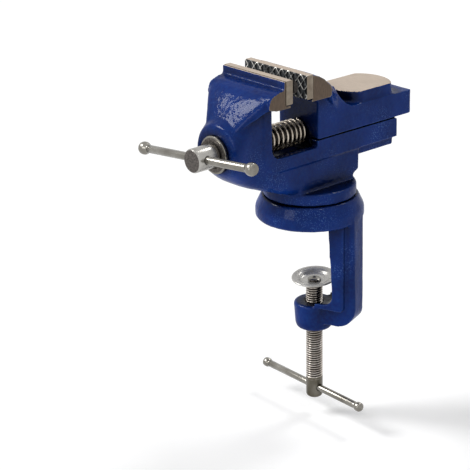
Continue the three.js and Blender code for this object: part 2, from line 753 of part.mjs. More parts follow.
function spindle() {
  const shoulder = collarFront - faceGap;
  const body = turned('y', [
    [0, hubFace], [hubRadius - hubChamfer, hubFace], [hubRadius, hubFace + hubChamfer],
    [hubRadius, shoulder - hubChamfer / 2], [hubRadius - hubChamfer / 2, shoulder], [spindleRadius, shoulder],
    [spindleRadius, spindleEnd - spindleEndChamfer], [spindleRadius - spindleEndChamfer, spindleEnd],
    [0, spindleEnd],
  ], [0, 0, spindleHeight]);
  const hole = rod('x', handleRadius + boreClearance, -bossRadius, bossRadius, [0, 0, 0], smallSides);
  return cut(body, hole.rotate([0, -handleTilt, 0]).translate([0, handleOffset, spindleHeight]));
}

function thrustCollar() {
  const inner = spindleRadius + boreClearance;
  const back = bodyBossFace - faceGap;
  const edge = collarThickness / 4;
  return turned('y', [
    [inner, collarFront + edge], [hubRadius + edge, collarFront + edge], [hubRadius + edge * 2, collarFront],
    [collarRadius - edge, collarFront], [collarRadius, collarFront + edge], [collarRadius, back],
    [inner, back], [inner, collarFront + edge],
  ], [0, 0, spindleHeight]);
}

// Return spring: one wire wound between the web and the sliding jaw, its ends straight along the spindle
function returnSpring() {
  const straight = springWireRadius * 2;
  const first = webFace + faceGap + straight;
  const last = slideFront - faceGap - straight;
  const turns = Math.floor(((last - first) / springPitch) * 2) / 2;
  const count = Math.round(turns * springSteps);
  const points = [];
  for (let k = 0; k <= count; k += 1) {
    const angle = (2 * Math.PI * k) / springSteps + rightAngle;
    const y = first + ((last - first) * k) / count;
    points.push(new THREE.Vector3(
      springMeanRadius * Math.cos(angle), y, spindleHeight + springMeanRadius * Math.sin(angle),
    ));
  }
  const lead = new THREE.Vector3(0, straight, 0);
  const path = [points[0].clone().sub(lead), ...points, points[count].clone().add(lead)];
  let least = Infinity;
  path.forEach((point, i) => {
    for (let k = i + springSteps / 2; k < path.length; k += 1) {
      least = Math.min(least, point.distanceTo(path[k]) - springWireRadius * 2);
    }
  });
  console.log(`return spring: ${turns} turns, least gap to itself ${least.toFixed(2)} mm`);
  if (least < springLeastGap) throw new Error('return spring: its turns are too close');
  return solid(tube(path, springWireRadius, springSides, new THREE.Vector3(1, 0, 0)));
}

// Lock lever: a stem that screws in against the post, a bend and a straight handle
function lockLever() {
  const bend = Array.from({ length: filletSteps * 2 + 1 }, (_, k) => {
    const angle = (rightAngle * k) / (filletSteps * 2);
    return new THREE.Vector3(
      -leverStem - leverBendRadius * Math.sin(angle), leverBendRadius * (1 - Math.cos(angle)), 0,
    );
  });
  const start = new THREE.Vector3(-leverTipLength, 0, 0);
  const end = new THREE.Vector3(-leverStem - leverBendRadius, leverBendRadius + leverLength, 0);
  const lever = solid(tube([start, ...bend, end], leverRadius, smallSides, new THREE.Vector3(0, 0, 1)));
  const tip = turned('x', [
    [0, 0], [leverRadius / 2, 0], [leverRadius, -leverTipLength], [leverRadius, -leverTipLength - overlap],
    [0, -leverTipLength - overlap],
  ], [0, 0, 0], smallSides);
  return join(lever, tip).translate([grooveDepth - postRadius - leverTipGap, 0, 0]);
}

// Assembly

const vise = new THREE.Group();

function place(name, body, finish, parent = vise) {
  const mesh = new THREE.Mesh(geometryOf(body), new THREE.MeshStandardMaterial(finish));
  mesh.name = name;
  parent.add(mesh);
  return mesh;
}

// A group of its own for what sits in a turned frame
function frameAt([x, y, z], [turnX, turnY, turnZ]) {
  const frame = new THREE.Group();
  frame.position.set(x, y, z);
  frame.rotation.set(radians(turnX), radians(turnY), radians(turnZ));
  vise.add(frame);
  return frame;
}

place('clamp_casting', clampCasting(), enamel);
const screwAxis = new THREE.Vector3(0, screwOffset, 0);
screwAxis.applyAxisAngle(new THREE.Vector3(0, 0, 1), radians(clampHeading));
const heading = radians(padTiltHeading);
const padTiltAxis = new THREE.Vector3(Math.cos(heading), Math.sin(heading), 0);
const pad = place('clamp_pad', clampPad(), plated);
pad.position.set(screwAxis.x, screwAxis.y, padPivotHeight);
pad.quaternion.setFromAxisAngle(padTiltAxis, radians(padTilt));
place('clamp_screw', clampScrew(), plated).position.copy(screwAxis);

const clampBarFrame = frameAt([screwAxis.x, screwAxis.y, clampBarHeight], [0, 0, clampBarAngle]);
const clampBar = bar(clampBarRadius, clampBarHalfLength, clampBarRadius / 8);
place('clamp_bar', clampBar, plated, clampBarFrame).position.x = clampBarShift;

place('body_casting', bodyCasting(), enamel);
place('front_jaw_plate', jawPlate(frontJawFace, 1), hardened);
place('sliding_jaw_casting', slidingJaw(), enamel);
place('rear_jaw_plate', jawPlate(rearJawFace, -1), hardened);
['left', 'right'].forEach((side, i) => {
  place(`front_plate_screw_${side}`, plateScrew(frontJawFace, 1, plateScrewPlaces[i]), hardened);
  place(`rear_plate_screw_${side}`, plateScrew(rearJawFace, -1, plateScrewPlaces[i]), hardened);
});

place('spindle', spindle(), plated);
place('thrust_collar', thrustCollar(), plated);
place('return_spring', returnSpring(), springSteel);

const handleFrame = frameAt([0, handleOffset, spindleHeight], [0, -handleTilt, 0]);
const handleBar = bar(handleRadius, handleHalfLength, handleRadius / 8);
place('handle_bar', handleBar, plated, handleFrame).position.x = handleShift;

[['left', -1], ['right', 1]].forEach(([side, sign]) => {
  const clampKnob = knob(clampKnobRadius, clampKnobLength, sign);
  const clampSeat = clampBarShift + sign * (clampBarHalfLength + faceGap);
  place(`clamp_bar_knob_${side}`, clampKnob, plated, clampBarFrame).position.x = clampSeat;
  const handleSeat = handleShift + sign * (handleHalfLength + faceGap);
  const handleKnob = knob(knobRadius, knobLength, sign);
  place(`handle_knob_${side}`, handleKnob, plated, handleFrame).position.x = handleSeat;
});

const leverFrame = frameAt([0, 0, lockHeight], [-leverTilt, 0, 0]);
place('lock_lever', lockLever(), plated, leverFrame);

export default vise;
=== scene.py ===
"""Looks of the swivel bench vise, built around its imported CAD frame.

Lengths are in mm until MM turns them into metres. Z is up and the handle's end is at -Y.
"""

import math

import bmesh
import bpy
from mathutils import Matrix, Vector, noise


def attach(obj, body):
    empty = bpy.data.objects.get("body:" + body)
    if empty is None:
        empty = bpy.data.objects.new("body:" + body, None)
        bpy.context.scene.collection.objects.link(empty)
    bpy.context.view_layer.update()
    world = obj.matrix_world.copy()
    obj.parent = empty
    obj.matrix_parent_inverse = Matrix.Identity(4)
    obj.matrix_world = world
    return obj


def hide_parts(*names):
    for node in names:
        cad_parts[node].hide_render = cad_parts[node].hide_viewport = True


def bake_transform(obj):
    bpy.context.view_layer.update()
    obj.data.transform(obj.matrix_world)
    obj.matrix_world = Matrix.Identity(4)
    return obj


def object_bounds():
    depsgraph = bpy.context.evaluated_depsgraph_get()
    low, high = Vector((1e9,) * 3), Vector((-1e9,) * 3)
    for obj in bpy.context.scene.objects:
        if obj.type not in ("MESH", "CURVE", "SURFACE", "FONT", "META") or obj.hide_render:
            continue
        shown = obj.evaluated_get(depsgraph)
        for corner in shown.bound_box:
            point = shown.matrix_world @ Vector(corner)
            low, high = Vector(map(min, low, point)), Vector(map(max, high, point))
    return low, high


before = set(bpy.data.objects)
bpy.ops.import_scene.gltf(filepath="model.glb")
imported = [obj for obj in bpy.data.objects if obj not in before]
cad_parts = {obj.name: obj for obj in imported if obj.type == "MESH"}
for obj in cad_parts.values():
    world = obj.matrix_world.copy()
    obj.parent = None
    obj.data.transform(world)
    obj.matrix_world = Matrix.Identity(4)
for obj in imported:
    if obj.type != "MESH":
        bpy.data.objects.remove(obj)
cad_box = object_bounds()
MM = 0.001
TAU = 2 * math.pi

# Spindle, collar and handle, as in the CAD
SPINDLE_Z = 62.7
SPINDLE_R = 6.5
SPINDLE_END = 47.0
SPINDLE_PITCH = 3.0
SPINDLE_DEPTH = 1.3
THREAD_FROM = -56.0
HUB_R = 8.1
HUB_FACE = -104.2
HUB_SHOULDER = -86.5
BOSS_FACE = -83.9
COLLAR_R = 12.7
COLLAR_BORE = 6.8
COLLAR_FRONT = -86.2
HANDLE_Y = -97.0
HANDLE_R = 2.75
HANDLE_HALF = 48.6
HANDLE_SHIFT = -3.6
HANDLE_TILT = 5.7

# Return spring
SPRING_FROM = -50.2
SPRING_TO = -11.4
COIL_R = 8.4
WIRE_R = 0.85
COILS = 10
END_CROWDING = 0.081

# Clamp screw, its bar and its pad
SCREW_AT = Vector((3.195, 1.163, 0.0))
SCREW_R = 5.9
SCREW_PITCH = 1.75
SCREW_DEPTH = 0.95
SCREW_END = -136.2
SCREW_SHOULDER = -50.22
SCREW_PLAIN = -121.5
CLAMP_BAR_Z = -128.5
CLAMP_BAR_R = 2.5
CLAMP_BAR_HALF = 45.1
CLAMP_BAR_SHIFT = -2.9
CLAMP_BAR_ANGLE = -2.7
PAD_Z = -48.5
PAD_TILT = 6.0
PAD_HEADING = 18.0

# Both bars reach this far into their knobs, and their holes are this much wider than they are
BAR_OVER = 0.3
HOLE_PLAY = 0.3

# Lock lever
LOCK_Z = 34.5
LEVER_R = 3.9
LEVER_BEND = 8.0
LEVER_STEM = 22.0
LEVER_LENGTH = 46.0
LEVER_TILT = 5.0
LEVER_TIP = -11.3

# Bare places on the castings
JAW_TOP = 110.5
JAW_HALF = 30.0
JAW_END_BOTTOM = 91.5
FRONT_END_FROM = -64.2
REAR_END_TO = -7.6
PLATE_BOTTOM = 94.5
FRONT_SEAT = (-51.5, -48.0)
REAR_SEAT = (-26.0, -23.5)
ANVIL_TOP = 85.4
ANVIL_Y = (20.0, 71.0)
ANVIL_HALF = 18.4
TOPS = 80.0
POST_FROM = 17.5
POST_R = 13.0

# Cast skins: the size of their mesh, and lumps as (width, height) that stay inside the solids
VOXEL = 0.75
BROAD_LUMPS = (9.0, 0.10)
FINE_LUMPS = (3.2, 0.06)
SKIN_DROP = BROAD_LUMPS[1] + FINE_LUMPS[1]

# Studio. The clamp screw winds down by 11.4 mm from rest, and the floor lies CLAMP_DROP lower to clear it
CLAMP_DROP = 12.2
SKY_LIGHT = 0.22
SKY_SHOWN = 1.0
FLOOR_SHOWN = 0.16
FLOOR_HALF = 6000

# The photograph's camera, as fitted to it, aimed without any lens shift
PHOTO = 470
FOCAL_PX = 1814.993
SENSOR = 36
CAMERA_AT = Vector((849.0, -809.647, 427.893))
CAMERA_AZIMUTH = 48.878
CAMERA_HEIGHT = 20.6563
CAMERA_ROLL = -1.0722


# Node materials. Noise scales are in waves a metre, and bump depths in mm

def lifted(colour, by):
    return tuple(part + by for part in colour)


def scaled(colour, by):
    return tuple(part * by for part in colour)


class Look:
    """One node material, written down node by node."""

    def __init__(self, name):
        self.material = bpy.data.materials.new(name)
        self.material.use_nodes = True
        self.tree = self.material.node_tree
        self.shader = self.tree.nodes["Principled BSDF"]
        self.place = self.tree.nodes.new("ShaderNodeTexCoord").outputs["Object"]

    def link(self, out, into):
        self.tree.links.new(out, into)

    def set(self, **values):
        for name, value in values.items():
            self.shader.inputs[name.replace("_", " ")].default_value = value

    def noise(self, scale, detail=3.0, rough=0.5, stretch=(1, 1, 1)):
        made = self.tree.nodes.new("ShaderNodeTexNoise")
        made.inputs["Scale"].default_value = scale
        made.inputs["Detail"].default_value = detail
        made.inputs["Roughness"].default_value = rough
        moved = self.tree.nodes.new("ShaderNodeMapping")
        moved.inputs["Scale"].default_value = stretch
        self.link(self.place, moved.inputs["Vector"])
        self.link(moved.outputs[0], made.inputs["Vector"])
        return made.outputs["Fac"]

    def waves(self, spacing, turn):
        """Straight ridges in the XZ plane, that far apart in metres, turned about Y."""
        moved = self.tree.nodes.new("ShaderNodeMapping")
        moved.inputs["Rotation"].default_value = (0, math.radians(turn), 0)
        made = self.tree.nodes.new("ShaderNodeTexWave")
        made.bands_direction = "X"
        made.wave_profile = "TRI"
        made.inputs["Scale"].default_value = TAU / 20 / spacing
        self.link(self.place, moved.inputs["Vector"])
        self.link(moved.outputs[0], made.inputs["Vector"])
        return made.outputs["Fac"]

    def ramp(self, fac, *stops):
        """Stops of (place, value), where a value is a colour or a grey."""
        made = self.tree.nodes.new("ShaderNodeValToRGB")
        ramp = made.color_ramp
        while len(ramp.elements) < len(stops):
            ramp.elements.new(0.5)
        for element, (at, colour) in zip(ramp.elements, stops):
            element.position = at
            element.color = (*colour, 1) if hasattr(colour, "__len__") else (colour, colour, colour, 1)
        self.link(fac, made.inputs["Fac"])
        return made.outputs["Color"]

    def mix(self, fac, first, second):
        made = self.tree.nodes.new("ShaderNodeMix")
        made.data_type = "RGBA"
        self.feed(made.inputs[0], fac)
        self.feed(made.inputs[6], first)
        self.feed(made.inputs[7], second)
        return made.outputs[2]

    def feed(self, socket, value):
        if isinstance(value, bpy.types.NodeSocket):
            self.link(value, socket)
        elif hasattr(value, "__len__"):
            socket.default_value = (*value, 1)
        else:
            socket.default_value = value

    def math(self, kind, first, second):
        made = self.tree.nodes.new("ShaderNodeMath")
        made.operation = kind
        self.feed(made.inputs[0], first)
        self.feed(made.inputs[1], second)
        return made.outputs[0]

    def edge_wear_and_sheen(self, low, high):
        """White along sharp outer edges, broken up by noise. It stands for edge wear, and on the enamel also for
        a painted highlight along the edges.
        """
        point = self.tree.nodes.new("ShaderNodeNewGeometry").outputs["Pointiness"]
        return self.math("MULTIPLY", self.ramp(point, (low, 0.0), (high, 1.0)), self.noise(260, 4))

    def colour(self, value):
        self.link(value, self.shader.inputs["Base Color"])

    def rough(self, fac, low, high):
        self.link(self.ramp(fac, (0.3, low), (0.7, high)), self.shader.inputs["Roughness"])

    def bump(self, *layers, socket="Normal"):
        """Layers of (height, depth in mm, strength), one on top of the other."""
        last = None
        for height, depth, strength in layers:
            made = self.tree.nodes.new("ShaderNodeBump")
            made.inputs["Strength"].default_value = strength
            made.inputs["Distance"].default_value = depth * MM
            self.link(height, made.inputs["Height"])
            if last is not None:
                self.link(last, made.inputs["Normal"])
            last = made.outputs["Normal"]
        self.link(last, self.shader.inputs[socket])

    def hollow_shade(self, reach, low, high):
        """0 in hollows narrower than the reach in mm and 1 in the open: the mask of painted shade, which darkens
        the hollows where shade falls.
        """
        made = self.tree.nodes.new("ShaderNodeAmbientOcclusion")
        made.samples = 8
        made.inputs["Distance"].default_value = reach * MM
        flat = self.tree.nodes.new("ShaderNodeNewGeometry").outputs["True Normal"]
        self.link(flat, made.inputs["Normal"])
        return self.ramp(made.outputs["AO"], (low, 0.0), (high, 1.0))

    def crest(self):
        """How near a point of a thread is to its crest, from 0 to 1."""
        made = self.tree.nodes.new("ShaderNodeAttribute")
        made.attribute_name = "crest"
        return made.outputs["Fac"]


def enamel():
    """Glossy blue enamel over rough iron, with paler edges, pale painted glints in patches and painted shade in
    the hollows. The paler edges are wear and a painted highlight.
    """
    look = Look("blue_enamel")
    tone = look.ramp(look.noise(30, 3), (0.32, (0.002, 0.012, 0.095)),
                     (0.50, (0.002, 0.020, 0.150)), (0.68, (0.004, 0.030, 0.215)))
    cloud = look.ramp(look.noise(420, 2), (0.35, 0.0), (0.75, 0.4))
    shade = look.mix(cloud, tone, (0.005, 0.046, 0.215))
    # Paler edges: edge wear, and a painted highlight along the edges.
    worn = look.mix(look.edge_wear_and_sheen(0.515, 0.57), shade, (0.035, 0.110, 0.420))
    # Painted glints: pale blue specks in patches, standing in for sparkling highlights on the gloss.
    glint_specks = look.ramp(look.noise(1150, 1), (0.58, 0.0), (0.66, 1.0))
    glint_fields = look.ramp(look.noise(26, 2), (0.52, 0.0), (0.64, 0.7))
    painted_glints = look.mix(look.math("MULTIPLY", glint_specks, glint_fields), worn, (0.060, 0.135, 0.400))
    # Painted shade: near black in hollows narrower than 34 mm, such as the throat and the seams.
    look.colour(look.mix(look.hollow_shade(34, 0.50, 0.97), (0.0006, 0.0015, 0.008), painted_glints))
    look.rough(look.noise(120, 3), 0.24, 0.38)
    look.set(Coat_Weight=0.20, Coat_Roughness=0.11)
    look.set(Specular_IOR_Level=0.02, Specular_Tint=(0.35, 0.55, 1.0, 1.0))
    lumps = ((look.noise(150, 3), 0.6, 0.4), (look.noise(430, 2), 0.3, 0.5))
    look.bump(*lumps)
    look.bump(*lumps, (look.noise(520, 1), 0.3, 0.4), socket="Coat Normal")
    return look.material


def machined():
    """Milled ends and seats, brownish and rather dull, with upright tool marks."""
    look = Look("machined_iron")
    grain = look.noise(260, 5, 0.6, (1, 7, 1))
    tone = look.ramp(grain, (0.3, (0.066, 0.042, 0.026)),
                     (0.55, (0.112, 0.074, 0.048)), (0.8, (0.190, 0.132, 0.090)))
    look.colour(look.mix(look.edge_wear_and_sheen(0.52, 0.60), tone, (0.420, 0.360, 0.280)))
    look.rough(grain, 0.42, 0.6)
    look.set(Metallic=0.35)
    look.bump((look.noise(900, 3, 0.6, (1, 9, 1)), 0.06, 0.5), (look.noise(220, 3), 0.12, 0.3))
    return look.material


def ground():
    """Ground tops of the jaws and the anvil, pale and even."""
    look = Look("ground_iron")
    grain = look.noise(300, 4, 0.6, (1, 5, 1))
    tone = look.ramp(grain, (0.3, (0.410, 0.325, 0.250)), (0.7, (0.540, 0.445, 0.360)))
    patches = look.ramp(look.noise(60, 3), (0.5, 0.0), (0.75, 0.4))
    look.colour(look.mix(patches, tone, (0.340, 0.262, 0.193)))
    look.rough(grain, 0.38, 0.55)
    look.set(Metallic=0.25)
    look.bump((look.noise(1200, 3, 0.6, (1, 7, 1)), 0.03, 0.4))
    return look.material


def plated(name, low=0.18, high=0.3, lift=0.0, metallic=1.0):
    """Nickel-bright turned steel of a roughness from low to high, made paler or darker by a lift."""
    look = Look(name)
    tone = look.ramp(look.noise(90, 4), (0.3, lifted((0.160, 0.150, 0.130), lift)),
                     (0.7, lifted((0.280, 0.268, 0.242), lift)))
    specks = look.ramp(look.noise(700, 3), (0.62, 0.0), (0.85, 0.5))
    look.colour(look.mix(specks, tone, (0.150, 0.130, 0.100)))
    look.rough(look.noise(200, 3), low, high)
    look.set(Metallic=metallic)
    look.bump((look.noise(180, 2), 0.03, 0.25), (look.noise(2200, 2), 0.004, 0.3))
    return look.material


def dull_plate_and_shade():
    """Thin, worn plating: the spindle's end face, the collar's front, the rivet and the plates' screws. On the
    rivet it is also painted shade, the dark ring round its head.
    """
    look = Look("dull_plate_and_shade")
    speck = look.noise(900, 4, 0.7)
    look.colour(look.ramp(speck, (0.35, (0.045, 0.040, 0.038)),
                          (0.6, (0.130, 0.115, 0.105)), (0.78, (0.420, 0.390, 0.350))))
    look.rough(speck, 0.35, 0.6)
    look.set(Metallic=0.85)
    look.bump((speck, 0.10, 0.6), (look.noise(240, 3), 0.15, 0.3))
    return look.material


def thread_steel(name, level):
    """Crests in the steel's colour over roots painted dark: painted shade in the thread's grooves."""
    look = Look(name)
    cloud = look.ramp(look.noise(160, 4), (0.3, scaled((0.63, 0.56, 0.49), level)),
                      (0.7, scaled((0.98, 0.91, 0.84), level)))
    # Painted shade: near black at the roots, the steel's colour at the crests.
    high = look.ramp(look.crest(), (0.15, 0.0), (0.85, 1.0))
    look.colour(look.mix(high, (0.035, 0.030, 0.026), cloud))
    look.rough(look.noise(800, 3), 0.25, 0.4)
    look.set(Metallic=1.0)
    look.bump((look.noise(1400, 3), 0.006, 0.4))
    return look.material


def spring_wire():
    look = Look("spring_steel")
    look.colour(look.ramp(look.noise(300, 4), (0.3, (0.340, 0.290, 0.235)), (0.7, (0.600, 0.540, 0.460))))
    look.rough(look.noise(900, 3), 0.22, 0.42)
    look.set(Metallic=1.0)
    look.bump((look.noise(1600, 3), 0.03, 0.5))
    return look.material


def grip():
    """Hardened grip faces with crossed diagonal ridges. The ridges' crests are pale in places, as wear and as a
    painted highlight, and the rest of the face is painted near black as shade.
    """
    look = Look("serrated_grip")
    spacing, slant = 4.6 * MM, 40
    ridges = look.math("MAXIMUM", look.waves(spacing, slant), look.waves(spacing, -slant))
    worn = look.ramp(look.noise(240, 2), (0.42, 0.0), (0.58, 1.0))
    # Painted highlight and wear: crests pale where the noise is high, dark elsewhere.
    crests = look.mix(worn, (0.060, 0.066, 0.070), (0.750, 0.730, 0.680))
    # Painted shade: near black between the ridges.
    look.colour(look.mix(look.ramp(ridges, (0.84, 0.0), (0.93, 1.0)), (0.016, 0.018, 0.021), crests))
    look.rough(look.noise(700, 3), 0.3, 0.5)
    look.set(Metallic=0.8)
    look.bump((ridges, 0.7, 1.0), (look.noise(1300, 3), 0.05, 0.4))
    return look.material


ENAMEL = enamel()
MACHINED = machined()
PLATED = plated("bright_plate")
DULL_AND_SHADE = dull_plate_and_shade()
THREAD = thread_steel("thread_steel", 0.58)
OILED = thread_steel("oiled_thread", 0.09)
SPRING = spring_wire()
GRIP = grip()
GROUND = ground()
PAD_PLATE = plated("pad_plate", 0.22, 0.34, 0.19, metallic=0.6)
FOOT = plated("worn_plate", 0.28, 0.42, -0.09)
# The hub's plating is a paler copy of bright_plate: painted light, a highlight spread over the whole hub.
HUB = plated("hub_plate", lift=0.16)


# Mesh helpers

def piece(name, verts, faces, materials, place=None, angle=32):
    """A mesh object from points in mm, set in place by a matrix in mm, shaded smooth up to an angle."""
    mesh = bpy.data.meshes.new(name)
    mesh.from_pydata([Vector(v) for v in verts], [], faces)
    built = bmesh.new()
    built.from_mesh(mesh)
    bmesh.ops.remove_doubles(built, verts=built.verts, dist=1e-5)
    bmesh.ops.recalc_face_normals(built, faces=built.faces)
    built.to_mesh(mesh)
    built.free()
    mesh.transform(Matrix.Scale(MM, 4) @ (place or Matrix.Identity(4)))
    for material in materials:
        mesh.materials.append(material)
    obj = bpy.data.objects.new(name, mesh)
    bpy.context.scene.collection.objects.link(obj)
    smooth(obj, angle)
    return obj


def smooth(obj, angle):
    obj.data.shade_smooth()
    obj.data.set_sharp_from_angle(angle=math.radians(angle))


def finished(obj, body, node):
    """Rides a piece on its body, in place of its CAD node."""
    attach(obj, body)
    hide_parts(node)


def paint(obj, index, wanted):
    """Gives material number index to the faces whose centre and normal, in mm, are wanted."""
    for face in obj.data.polygons:
        if wanted(face.center / MM, face.normal):
            face.material_index = index


def applied(obj):
    """Turns an object's modifiers into its mesh."""
    made = bpy.data.meshes.new_from_object(obj.evaluated_get(bpy.context.evaluated_depsgraph_get()))
    obj.modifiers.clear()
    obj.data = made


def circle(radius, along, sides):
    """Points round Z."""
    return [(radius * math.cos(TAU * k / sides), radius * math.sin(TAU * k / sides), along)
            for k in range(sides)]


def bands(rows, sides, first=0):
    """The faces between rows of as many points each."""
    faces = []
    for i in range(rows - 1):
        a = first + i * sides
        for k in range(sides):
            n = (k + 1) % sides
            faces.append((a + k, a + n, a + sides + n, a + sides + k))
    return faces


def lathe(profile, sides=72):
    """A profile of (radius, place along the axis) turned about Z.

    It is closed at radius 0, or runs back to its start. The faces that shrink to a line there are left out.
    """
    verts = []
    for radius, along in profile:
        verts.extend(circle(radius, along, sides))
    corners = [tuple(round(c, 5) for c in vert) for vert in verts]
    return verts, [face for face in bands(len(profile), sides) if len({corners[v] for v in face}) > 2]


def thread(start, end, crest, depth, pitch, fade, sides=64, steps=12):
    """A rod along Z with a right-handed thread of rounded crests that runs out at both ends."""
    crest_share, flank_share = 0.22, 0.56
    rows = int((end - start) / pitch * steps)
    verts = [(0, 0, start)]
    for i in range(rows + 1):
        z = start + (end - start) * i / rows
        run_out = min(1.0, (z - start) / fade, (end - z) / fade)
        for k in range(sides):
            phase = (z / pitch - k / sides) % 1.0
            groove = min(1.0, max(0.0, (abs(phase - 0.5) * 2 - crest_share) / flank_share))
            radius = crest - depth * groove * max(0.0, run_out)
            verts.append((radius * math.cos(TAU * k / sides), radius * math.sin(TAU * k / sides), z))
    verts.append((0, 0, end))
    faces = bands(rows + 1, sides, 1)
    last = 1 + rows * sides
    for k in range(sides):
        n = (k + 1) % sides
        faces.append((0, 1 + n, 1 + k))
        faces.append((len(verts) - 1, last + k, last + n))
    return verts, faces


def mark_crests(obj, place, crest, depth):
    """Writes on each point how near it is to the thread's crest."""
    back = place.inverted()
    marks = obj.data.attributes.new("crest", "FLOAT", "POINT")
    for vertex, mark in zip(obj.data.vertices, marks.data):
        at = back @ (vertex.co / MM)
        mark.value = min(1.0, max(0.0, 1 - (crest - at.xy.length) / depth))


def tube(points, radii, sides):
    """A round tube along points with a radius at each, closed by its ends."""
    verts = []
    side = Vector((0, 0, 1))
    for i, point in enumerate(points):
        ahead = (points[min(i + 1, len(points) - 1)] - points[max(i - 1, 0)]).normalized()
        side = (side - ahead * side.dot(ahead)).normalized()
        across = ahead.cross(side)
        for k in range(sides):
            angle = TAU * k / sides
            verts.append(point + (side * math.cos(angle) + across * math.sin(angle)) * radii[i])
    faces = bands(len(points), sides)
    faces.append(tuple(range(sides)))
    faces.append(tuple(range((len(points) - 1) * sides, len(points) * sides)))
    return verts, faces


def along(direction, centre):
    """The matrix that turns Z into a direction and moves it to a centre."""
    turn = Vector(direction).to_track_quat("Z", "Y").to_matrix().to_4x4()
    return Matrix.Translation(centre) @ turn


def drill(obj, radius, place, reach):
    """Cuts a round hole along the Z of a matrix in mm."""
    verts, faces = lathe([(0, -reach), (radius, -reach), (radius, reach), (0, reach)], 48)
    cutter = piece("cutter", verts, faces, [DULL_AND_SHADE], place)
    cut = obj.modifiers.new("hole", "BOOLEAN")
    cut.operation = "DIFFERENCE"
    cut.solver = "EXACT"
    cut.object = cutter
    applied(obj)
    bpy.data.objects.remove(cutter)


# The spindle's own frame: Z along +Y, X up, Y to +X, so a right-handed turn stays right-handed
SPINDLE = Matrix(((0, 1, 0, 0), (0, 0, 1, 0), (1, 0, 0, SPINDLE_Z), (0, 0, 0, 1)))
HANDLE_WAY = Vector((math.cos(math.radians(HANDLE_TILT)), 0, math.sin(math.radians(HANDLE_TILT))))
BAR_WAY = Vector((math.cos(math.radians(CLAMP_BAR_ANGLE)), math.sin(math.radians(CLAMP_BAR_ANGLE)), 0))


# Castings: the CAD solid's own shape with cast edges and a lumpy painted skin

def casting(name, node, body, bare):
    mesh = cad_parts[node].data.copy()
    mesh.materials.clear()
    built = bmesh.new()
    built.from_mesh(mesh)
    bmesh.ops.remove_doubles(built, verts=built.verts, dist=1e-7)
    built.to_mesh(mesh)
    built.free()
    obj = bpy.data.objects.new(name, mesh)
    bpy.context.scene.collection.objects.link(obj)
    remesh = obj.modifiers.new("cast", "REMESH")
    remesh.mode = "VOXEL"
    remesh.voxel_size = VOXEL * MM
    soften = obj.modifiers.new("soften", "SMOOTH")
    soften.factor = 0.5
    soften.iterations = 6
    applied(obj)
    for material in (ENAMEL, MACHINED, GROUND):
        obj.data.materials.append(material)
    paint(obj, 1, bare)
    paint(obj, 2, lambda at, way: way.z > 0.6 and at.z > TOPS and bare(at, way))
    roughen(obj)
    obj.data.shade_smooth()
    finished(obj, body, node)


def roughen(obj):
    """Gives the painted skin its lumps, and leaves the bare faces flat."""
    bare = set()
    for face in obj.data.polygons:
        if face.material_index:
            bare.update(face.vertices)
    normals = [v.normal.copy() for v in obj.data.vertices]
    for vertex in obj.data.vertices:
        if vertex.index in bare:
            continue
        at = vertex.co / MM
        height = -SKIN_DROP
        for width, share in (BROAD_LUMPS, FINE_LUMPS):
            height += noise.noise(at / width) * share
        vertex.co += normals[vertex.index] * height * MM


def body_bare(at, way):
    if at.z > JAW_TOP - 0.5 and way.z > 0.6:
        return True
    if way.y > 0.4 and at.z > PLATE_BOTTOM and FRONT_SEAT[0] < at.y < FRONT_SEAT[1]:
        return True
    return abs(at.x) > JAW_HALF - 0.5 and abs(way.x) > 0.7 and at.z > JAW_END_BOTTOM and at.y > FRONT_END_FROM


def slide_bare(at, way):
    if at.z > JAW_TOP - 0.5 and way.z > 0.6:
        return True
    if way.y < -0.4 and at.z > PLATE_BOTTOM and REAR_SEAT[0] < at.y < REAR_SEAT[1]:
        return True
    if abs(at.x) > JAW_HALF - 0.5 and abs(way.x) > 0.7 and at.y < REAR_END_TO:
        return True
    on_anvil = ANVIL_Y[0] < at.y < ANVIL_Y[1] and abs(at.x) < ANVIL_HALF
    return at.z > ANVIL_TOP - 0.45 and way.z > 0.7 and on_anvil


def clamp_bare(at, way):
    return at.z > POST_FROM and at.xy.length < POST_R


casting("body_cast_skin", "body_casting", "vise_body", body_bare)
casting("sliding_jaw_cast_skin", "sliding_jaw_casting", "moving_jaw", slide_bare)
casting("clamp_cast_skin", "clamp_casting", "clamp_base", clamp_bare)


# Jaw plates: machined at the ends, ground on top, serrated on the face that grips, which is painted near black as
# shade with pale crests

def dress(node, *materials):
    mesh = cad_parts[node].data
    mesh.materials.clear()
    for material in materials:
        mesh.materials.append(material)
    return mesh


for jaw, way in (("front", 1), ("rear", -1)):
    for face in dress(f"{jaw}_jaw_plate", MACHINED, GRIP, GROUND).polygons:
        face.material_index = 1 if face.normal.y * way > 0.5 else 2 if face.normal.z > 0.5 else 0
    for side in ("left", "right"):
        dress(f"{jaw}_plate_screw_{side}", DULL_AND_SHADE)


# Spindle: head with its cross hole, journal and thread

head = piece("spindle_head", *lathe([
    (0, HUB_FACE + 0.25), (3.0, HUB_FACE + 0.12), (HUB_R - 1.1, HUB_FACE), (HUB_R - 0.7, HUB_FACE + 0.1),
    (HUB_R - 0.1, HUB_FACE + 0.75), (HUB_R, HUB_FACE + 1.1), (HUB_R, HUB_SHOULDER - 0.5),
    (HUB_R - 0.4, HUB_SHOULDER), (SPINDLE_R, HUB_SHOULDER), (SPINDLE_R, THREAD_FROM), (0, THREAD_FROM),
]), [HUB, DULL_AND_SHADE], SPINDLE)
drill(head, HANDLE_R + HOLE_PLAY, along(HANDLE_WAY, (0, HANDLE_Y, SPINDLE_Z)), 14)
smooth(head, 30)
paint(head, 1, lambda at, way: way.y < -0.9 and at.y < HUB_FACE + 0.5)
finished(head, "spindle", "spindle")

